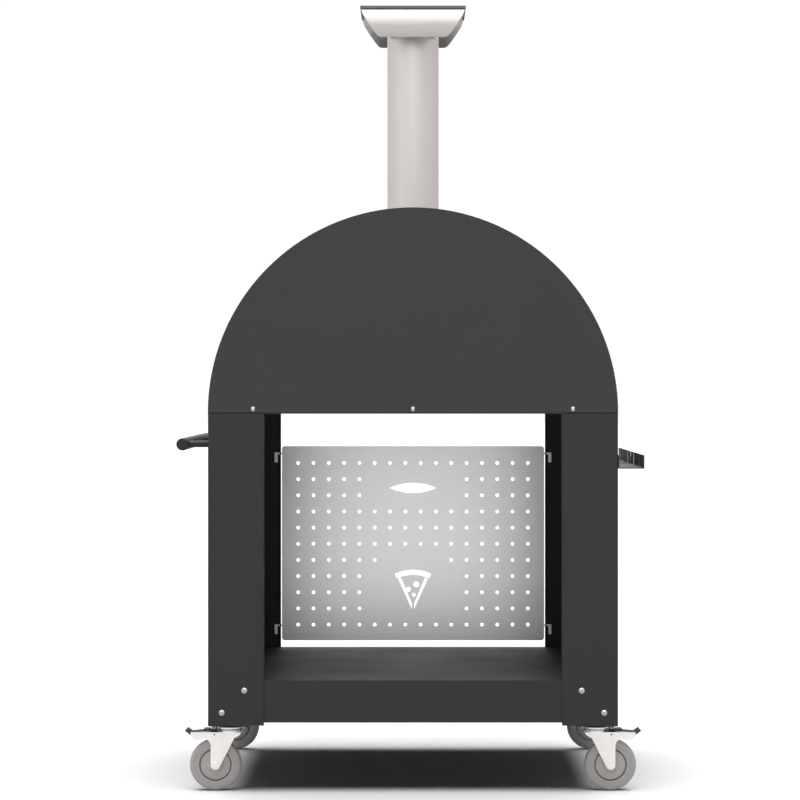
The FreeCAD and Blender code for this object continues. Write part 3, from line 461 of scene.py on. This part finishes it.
def mirrored(half):
    """Closed profile from its half on the negative side of the wheel's middle plane, in millimetres."""
    return [(r * MM, a * MM) for r, a in half] + [(r * MM, -a * MM) for r, a in reversed(half)]


def skin(bm, rings):
    """Surface through equal rings of points, closed at both ends."""
    loops = [[bm.verts.new(p) for p in ring] for ring in rings]
    for low, high in zip(loops, loops[1:]):
        for a, b, c, d in zip(low, low[1:] + low[:1], high[1:] + high[:1], high):
            bm.faces.new((a, b, c, d))
    bm.faces.new(loops[0])
    bm.faces.new(loops[-1])


def screws(node):
    """Top of the head, outward direction, head radius, shank radius and length of each screw in a node."""
    bm = merged(node)
    left = set(bm.verts)
    found = []
    while left:
        group = {left.pop()}
        edge = list(group)
        while edge:
            near = [e.other_vert(v) for v in edge for e in v.link_edges]
            edge = list({v for v in near if v in left})
            left.difference_update(edge)
            group.update(edge)
        points = [v.co for v in group]
        low = Vector([min(p[i] for p in points) for i in range(3)])
        high = Vector([max(p[i] for p in points) for i in range(3)])
        size = high - low
        k = max(range(3), key=lambda i: size[i])
        middle = (low + high) / 2
        others = [i for i in range(3) if i != k]
        reach = {end: max(max(abs(p[i] - middle[i]) for i in others) for p in points
                          if (p[k] - middle[k]) * end > size[k] * 0.25) for end in (-1, 1)}
        end = max(reach, key=reach.get)
        out = Vector([end if i == k else 0 for i in range(3)])
        found.append((middle + out * size[k] / 2, out, reach[end], reach[-end], size[k]))
    bm.free()
    return found


def socket_screw(bm, top, out, head, shank, reach, head_height):
    """Domed screw with a hexagonal socket, its shank and a chamfered tip."""
    steps = 36
    across = head * sizes().socket
    side = out.orthogonal().normalized()
    up = out.cross(side)

    def ring(radius, depth, sided=False):
        points = []
        for n in range(steps):
            angle = 2 * pi * n / steps
            r = radius / cos((angle % (pi / 3)) - pi / 6) if sided else radius
            points.append(top - out * depth + (side * cos(angle) + up * sin(angle)) * r)
        return points

    dome = [ring(head * cos(t), head_height * (0.82 - 0.82 * sin(t))) for t in (0, 0.25, 0.5, 0.75, 0.92)]
    rings = [ring(shank * 0.8, reach), ring(shank, reach - shank * 0.4), ring(shank, head_height),
             ring(head, head_height)] + dome
    rings += [ring(across, 0.0, True), ring(across * 0.96, head_height * 0.1, True),
              ring(across * 0.94, head_height * 0.62, True), ring(across * 0.3, head_height * 0.75)]
    skin(bm, rings)


def screw_set(name, node, head_height, key):
    """All screws of a node, drawn with their sockets in place of the plain ones."""
    bm = bmesh.new()
    for top, out, head, shank, reach in screws(node):
        socket_screw(bm, top, out, head, shank, reach, head_height)
    bmesh.ops.recalc_face_normals(bm, faces=bm.faces)
    return piece(name, bm, key, node, [node])


# ---------------------------------------------------------------- operators
class OVEN_OT_casing(bpy.types.Operator):
    """Finish the arched casing, its back and front and the tray under it"""
    bl_idname = "oven.casing"
    bl_label = "Casing"

    def execute(self, context):
        fold = sizes().fold
        for node in ("back_panel", "facade", "base_tray"):
            softened(node, "casing", fold)
        plain("roof_shell", "casing")
        return {"FINISHED"}


class OVEN_OT_cart(bpy.types.Operator):
    """Finish the cart: side panels, shelf, push bar and peel rack"""
    bl_idname = "oven.cart"
    bl_label = "Cart"

    def execute(self, context):
        fold = sizes().fold
        for node in ("side_panel_left", "side_panel_right", "shelf_tray"):
            softened(node, "cart", fold)
        softened("peel_rack", "casing", fold)
        for node in ("push_bar", "push_bar_posts"):
            plain(node, "bar")
        plain("push_bar_caps", "cap")
        return {"FINISHED"}


class OVEN_OT_tool_panel(bpy.types.Operator):
    """Finish the perforated tool panel"""
    bl_idname = "oven.tool_panel"
    bl_label = "Tool panel"

    def execute(self, context):
        softened("tool_panel", "sheet_steel", sizes().fine)
        return {"FINISHED"}


class OVEN_OT_flue(bpy.types.Operator):
    """Finish the flue, its collar and the cowl"""
    bl_idname = "oven.flue"
    bl_label = "Flue and cowl"

    def execute(self, context):
        plain("flue_pipe", "flue_steel")
        plain("flue_collar", "flue_steel")
        softened("cowl_lid", "lid", sizes().fine)
        softened("cowl_plates", "cowl_steel", sizes().thin)
        plain("cowl_straps", "cowl_steel")
        return {"FINISHED"}


class OVEN_OT_chamber(bpy.types.Operator):
    """Finish the chamber, the hearth and the insulation"""
    bl_idname = "oven.chamber"
    bl_label = "Chamber"

    def execute(self, context):
        for node in ("vault", "chamber_back", "chamber_front", "smoke_hood"):
            plain(node, "fired_steel")
        softened("floor_tiles", "brick", sizes().tile)
        plain("insulation_wool", "wool")
        plain("insulation_board", "board")
        softened("sill", "sheet_steel", sizes().fine)
        return {"FINISHED"}


class OVEN_OT_door(bpy.types.Operator):
    """Finish the door and its grip"""
    bl_idname = "oven.door"
    bl_label = "Door"

    def execute(self, context):
        softened("door_panel", "sheet_steel", sizes().fine)
        plain("door_brackets", "screw_steel")
        plain("door_grip", "wood")
        return {"FINISHED"}


class OVEN_OT_thermometer(bpy.types.Operator):
    """Finish the thermometer, with ticks on its dial"""
    bl_idname = "oven.thermometer"
    bl_label = "Thermometer"

    def execute(self, context):
        plain("thermometer_case", "screw_steel")
        plain("thermometer_dial", "enamel")
        plain("thermometer_lens", "glass")
        plain("thermometer_needle", "red")
        low, high = (Vector(v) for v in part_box("thermometer_dial"))
        centre = (low + high) / 2
        bm = bmesh.new()
        for k in range(TICKS):
            angle = radians(TICK_FIRST - k * TICK_STEP)
            width, reach = TICK_LONG if k % 3 == 0 else TICK_SHORT
            place = (Matrix.Translation((centre.x, low.y - TICK_DEPTH / 2, centre.z))
                     @ Matrix.Rotation(radians(90) - angle, 4, "Y")
                     @ Matrix.Translation((0, 0, TICK_REACH - reach / 2))
                     @ Matrix.Diagonal((width, TICK_DEPTH, reach, 1)))
            bmesh.ops.create_cube(bm, size=1.0, matrix=place)
        piece("dial_ticks", bm, "ink", "thermometer_dial")
        return {"FINISHED"}


class OVEN_OT_fasteners(bpy.types.Operator):
    """Finish the screws and bolts"""
    bl_idname = "oven.fasteners"
    bl_label = "Fasteners"

    def execute(self, context):
        screw_set("frame_screw_heads", "frame_screws", sizes().frame_head, "screw_steel")
        screw_set("trim_screw_heads", "trim_screws", sizes().trim_head, "screw_steel")
        # The caster bolts take the half-bright steel: painted shade.
        softened("caster_bolts", "bolt", sizes().fine)
        return {"FINISHED"}


class OVEN_OT_casters(bpy.types.Operator):
    """Finish the four casters"""
    bl_idname = "oven.casters"
    bl_label = "Casters"

    def execute(self, context):
        for end, side in CORNERS:
            where = "_" + end + "_" + side
            softened("caster_fork" + where, "zinc", sizes().fold)
            # The zinc mounts are drawn in the cart's dark paint: painted shade from the legs above them.
            softened("caster_mount" + where, "cart", sizes().fine)
            softened("caster_axle" + where, "zinc", sizes().fine)
            softened("brake_pedal" + where, "pedal", sizes().fine)
            self.race(where)
            self.wheel(where)
            self.ribs(where, 1 if side == "right" else -1)
        return {"FINISHED"}

    def race(self, where):
        """Bright pressed cup that holds the swivel's balls, with a rolled lip."""
        node = "caster_mount" + where
        low, high = (Vector(v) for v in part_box(node))
        top = Vector(((low.x + high.x) / 2, (low.y + high.y) / 2, high.z))
        bm = bmesh.new()
        turned(bm, [(r * MM, a * MM) for r, a in CUP], top, (0, 0, 1), sizes().steps)
        piece("race_cup" + where, bm, "zinc", node)

    def wheel(self, where):
        """Hub with its rings and tyre with rounded shoulders and a mould line."""
        for key, half in (("hub", HUB), ("tyre", TYRE)):
            node = "caster_" + key + where
            low, high = (Vector(v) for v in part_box(node))
            bm = bmesh.new()
            turned(bm, mirrored(half), (low + high) / 2, (0, 1, 0), sizes().steps)
            piece(node + "_turned", bm, key, node, [node])

    def ribs(self, where, side):
        """Row of round ribs across the pedal's foot pad."""
        low, high = (Vector(v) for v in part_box("brake_pedal" + where))
        toe = high.x if side > 0 else low.x
        middle = (low.y + high.y) / 2
        bm = bmesh.new()
        for share in RIB_PLACES:
            out = PAD_START - PAD_RUN * share
            drop = PAD_RISE * (1 - share)
            at = Matrix.Translation((toe - side * out, middle, high.z - drop))
            bar = bmesh.ops.create_cone(bm, cap_ends=True, segments=16, radius1=sizes().rib,
                                        radius2=sizes().rib, depth=RIB_LENGTH,
                                        matrix=at @ Matrix.Rotation(pi / 2, 4, "X"))
            ends = {e for v in bar["verts"] for e in v.link_edges
                    if abs(e.verts[0].co.y - e.verts[1].co.y) < 1e-6}
            bmesh.ops.bevel(bm, geom=list(ends), offset=RIB_ROUNDING, offset_type="OFFSET",
                            affect="EDGES", segments=2, profile=0.5, material=-1)
        piece("pedal_ribs" + where, bm, "pedal", "brake_pedal" + where)


class OVEN_OT_studio(bpy.types.Operator):
    """Lay the floor, set the soft lights and place the camera"""
    bl_idname = "oven.studio"
    bl_label = "Studio"

    def execute(self, context):
        studio = context.scene.oven_studio
        floor = self.floor()
        self.lights(studio, floor)
        context.scene.world = self.world(studio)
        context.scene.view_settings.view_transform = "Standard"
        context.scene.camera = self.camera(studio)
        return {"FINISHED"}

    def placed(self, name, data):
        obj = bpy.data.objects.new(name, data)
        bpy.context.scene.collection.objects.link(obj)
        return obj

    def floor(self):
        bm = bmesh.new()
        bmesh.ops.create_grid(bm, x_segments=1, y_segments=1, size=FLOOR_HALF)
        mesh = bpy.data.meshes.new("floor")
        bm.to_mesh(mesh)
        bm.free()
        mesh.materials.append(floor_paper("studio_floor"))
        floor = self.placed("floor", mesh)
        return floor

    def lights(self, studio, floor):
        """Wide light from above, and softboxes flagged off the floor so that its shadow stays dark."""
        flagged = bpy.data.collections.new("kept_dark")
        flagged.objects.link(floor)
        flagged.collection_objects[0].light_linking.link_state = "EXCLUDE"
        for name, place, target, size in SOFTBOXES:
            data = bpy.data.lights.new(name, "AREA")
            data.shape = "RECTANGLE"
            data.size, data.size_y = size
            data.energy = getattr(studio, name)
            lamp = self.placed(name, data)
            lamp.light_linking.receiver_collection = flagged
            lamp.location = place
            lamp.rotation_euler = (Vector(target) - Vector(place)).to_track_quat("-Z", "Y").to_euler()
        data = bpy.data.lights.new("overhead", "SUN")
        data.energy = studio.key
        data.angle = radians(studio.key_width)
        self.placed("overhead", data)

    def world(self, studio):
        """Bright walls and ceiling for metal to mirror, white to the camera, and a faint even light."""
        world = bpy.data.worlds.new("studio_light")
        world.use_nodes = True
        tree = world.node_tree
        path = add(tree, "LightPath")
        way = add(tree, "SeparateXYZ", [("Vector", add(tree, "TexCoord").outputs["Generated"])])
        across = ranged(tree, way.outputs["X"], WALL_SHIFT, studio.walls * DIM_WALL, studio.walls)
        above = ranged(tree, way.outputs["Z"], CEILING_SHIFT, across, studio.ceiling)
        seen = ranged(tree, path.outputs["Is Glossy Ray"], (0.0, 1.0), studio.walls, above)
        strength = ranged(tree, path.outputs["Is Diffuse Ray"], (0.0, 1.0), seen, studio.ambient)
        tree.links.new(strength, tree.nodes["Background"].inputs["Strength"])
        tree.nodes["Background"].inputs["Color"].default_value = (1, 1, 1, 1)
        return world

    def camera(self, studio):
        data = bpy.data.cameras.new("camera")
        data.lens = studio.lens
        data.shift_x = studio.shift_x
        data.shift_y = studio.shift_y
        data.clip_end = VIEW_DEPTH
        camera = self.placed("camera", data)
        camera.location = (0.0, studio.distance, studio.height)
        camera.rotation_euler = (radians(90), 0.0, radians(180))
        return camera


PIECES = (OVEN_OT_casing, OVEN_OT_cart, OVEN_OT_tool_panel, OVEN_OT_flue, OVEN_OT_chamber, OVEN_OT_door,
          OVEN_OT_thermometer, OVEN_OT_fasteners, OVEN_OT_casters, OVEN_OT_studio)


class OVEN_PT_panel(bpy.types.Panel):
    """Lists the oven's settings and operators"""
    bl_idname = "OVEN_PT_panel"
    bl_label = "Oven"
    bl_space_type = "VIEW_3D"
    bl_region_type = "UI"
    bl_category = "Oven"

    def draw(self, context):
        for group in (context.scene.oven_finishes, context.scene.oven_sizes, context.scene.oven_studio):
            column = self.layout.column()
            for key in group.__annotations__:
                column.prop(group, key)
        for operator in PIECES:
            self.layout.operator(operator.bl_idname)


GROUPS = (("oven_finishes", OvenFinishes), ("oven_sizes", OvenSizes), ("oven_studio", OvenStudio))


def register():
    for key, group in GROUPS:
        bpy.utils.register_class(group)
        setattr(bpy.types.Scene, key, PointerProperty(type=group))
    for operator in PIECES:
        bpy.utils.register_class(operator)
    bpy.utils.register_class(OVEN_PT_panel)


def unregister():
    bpy.utils.unregister_class(OVEN_PT_panel)
    for operator in reversed(PIECES):
        bpy.utils.unregister_class(operator)
    for key, group in reversed(GROUPS):
        delattr(bpy.types.Scene, key)
        bpy.utils.unregister_class(group)


def main():
    register()
    MATERIALS.update(build_materials())
    for operator in PIECES:
        group, name = operator.bl_idname.split(".")
        getattr(getattr(bpy.ops, group), name)()


if __name__ == "__main__":
    main()
